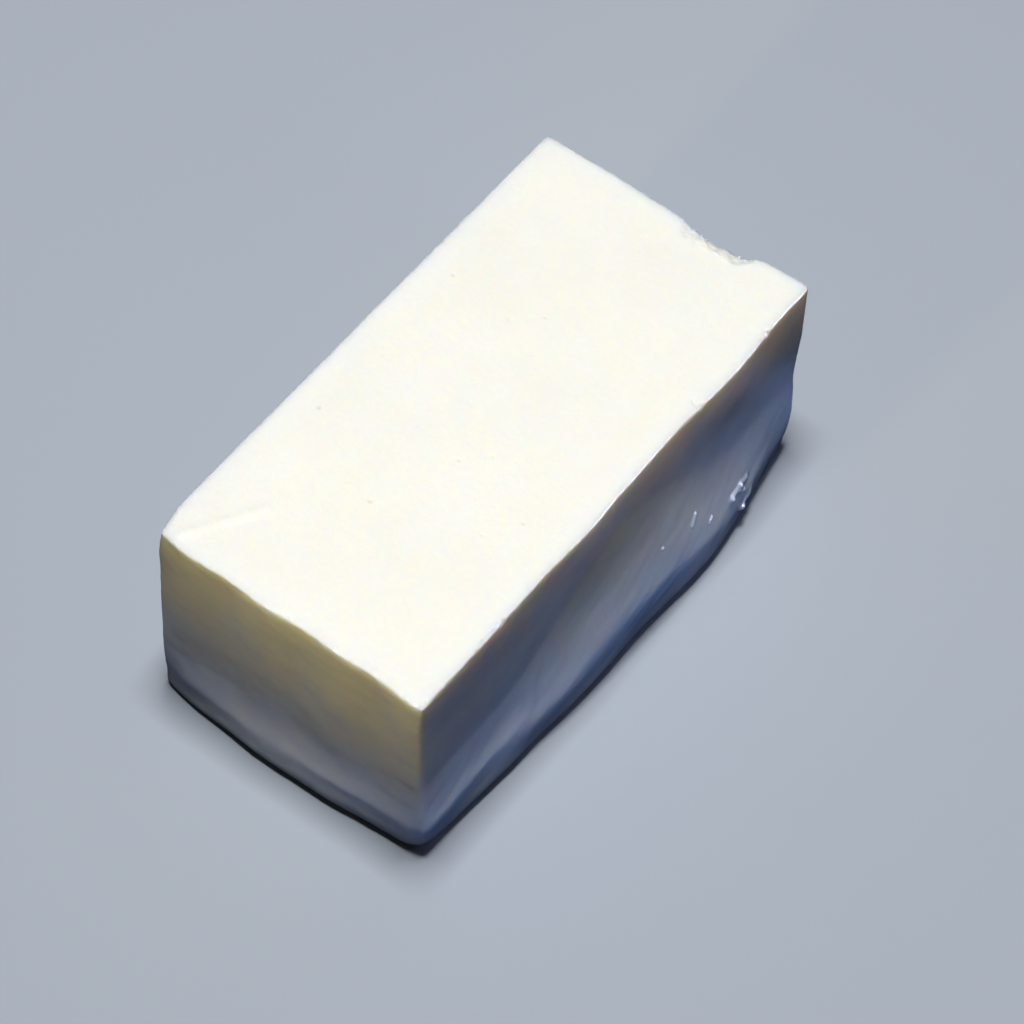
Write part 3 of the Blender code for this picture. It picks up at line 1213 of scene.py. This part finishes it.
def add_noise(scale, detail):
    """A noise texture in the group, scale being blotches to the metre."""
    texture = add_node(surface, "ShaderNodeTexNoise")
    texture.inputs["Scale"].default_value = scale
    texture.inputs["Detail"].default_value = detail
    feed(surface, given.outputs["Vector"], texture.inputs["Vector"])
    return texture.outputs["Fac"]


clouds = add_range(surface, add_noise(CLOUD_SCALE, detail=3.0), 0.38, 0.66, 0.0, MILKIEST)
# The faint clouds are milkier, and the painted sheen along the rim whitens it further.
milk_and_sheen = add_math(surface, "MAXIMUM", clouds, given.outputs["Pale"])
body = add_mix(surface, milk_and_sheen, given.outputs["Cream"], given.outputs["Milk and sheen"])
# Painted shade in the pinholes and the torn place.
shaded = add_mix(surface, given.outputs["Hollow"], body, given.outputs["Shade"])

patches = add_range(surface, add_noise(PATCH_SCALE, detail=2.0), 0.40, 0.62, 0.0, 1.0)
whole = add_range(surface, patches, 0.0, 1.0, DRY_FILM, 1.0)
side_film = add_math(surface, "MULTIPLY", given.outputs["Wet"], whole)
film = add_math(surface, "ADD", side_film, add_math(surface, "MULTIPLY", patches, TOP_FILM))
rough = add_range(surface, film, 0.0, 1.0, DRY_ROUGHNESS, WET_ROUGHNESS)

fine_grain = add_math(surface, "MULTIPLY", add_noise(GRAIN_SCALE, detail=2.0), GRAIN_SHARE)
height = add_math(surface, "ADD", fine_grain, add_noise(SWELL_SCALE, detail=2.0))

result = add_node(surface, "NodeGroupOutput")
for name, answer in (("Color", shaded), ("Roughness", rough), ("Coat", film), ("Height", height)):
    feed(surface, answer, result.inputs[name])
print("The shared surface has", len(surface.nodes), "nodes")

# %% [markdown]
# The material itself keeps what is the same all over: how far light wanders in the curd, and how
# smooth the film is. Light that wandered 3 mm in a crumb would come out of its buried half, and the
# crumb would look like a dark hole, so crumbs have a curd of their own with a shorter path.

# %% Curd material
GRAIN_HEIGHT = 0.05 * MM
COAT_ROUGHNESS = 0.08
COLOR_PATHS = (1.0, 0.82, 0.55)  # how far red, green and blue wander, as shares of the path
BLOCK_PATH = 3.0 * MM
CRUMB_PATH = 0.1 * MM


def make_curd(name, path_length):
    """A material of curd in which light wanders about that far."""
    made = bpy.data.materials.new(name)
    made.use_nodes = True
    tree = made.node_tree
    shader = tree.nodes["Principled BSDF"]
    shader.inputs["Subsurface Weight"].default_value = 1.0
    shader.inputs["Subsurface Radius"].default_value = COLOR_PATHS
    shader.inputs["Subsurface Scale"].default_value = path_length
    shader.inputs["Coat Roughness"].default_value = COAT_ROUGHNESS

    finish = add_node(tree, "ShaderNodeGroup", node_tree=surface)
    feed(tree, add_node(tree, "ShaderNodeTexCoord").outputs["Object"], finish.inputs["Vector"])
    for mask in ("hollow", "wet", "pale"):
        attribute = add_node(tree, "ShaderNodeAttribute", attribute_name=mask)
        feed(tree, attribute.outputs["Fac"], finish.inputs[mask.capitalize()])
    bump = add_node(tree, "ShaderNodeBump")
    bump.inputs["Strength"].default_value = 1.0
    bump.inputs["Distance"].default_value = GRAIN_HEIGHT
    feed(tree, finish.outputs["Height"], bump.inputs["Height"])
    for ours, theirs in (("Color", "Base Color"), ("Roughness", "Roughness"), ("Coat", "Coat Weight")):
        feed(tree, finish.outputs[ours], shader.inputs[theirs])
    feed(tree, bump.outputs["Normal"], shader.inputs["Normal"])
    print(made.name, "has", len(tree.nodes), "nodes")
    return made


curd = make_curd("curd", BLOCK_PATH)
crumb_curd = make_curd("crumb curd", CRUMB_PATH)

# %% [markdown]
# Both pieces get their curd and smooth shading. They ride on the one body that the block has, and
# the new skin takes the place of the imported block.

# %% Dress the pieces
for piece, material in ((block, curd), (crumbs, crumb_curd)):
    piece.data.materials.clear()
    piece.data.materials.append(material)
    choose(piece)
    bpy.ops.object.shade_smooth()
    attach(piece, "root")
    print(piece.name, "rides on root and wears", material.name)
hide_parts("tofu_block")

# %% [markdown]
# ## The finished block
#
# The skin may stand a little proud of the imported model, so the finished block is measured.

# %% Measure the finished block
seen_low, seen_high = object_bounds()
seen_size = seen_high - seen_low
print("The finished block measures", [round(length / MM, 1) for length in seen_size], "mm")
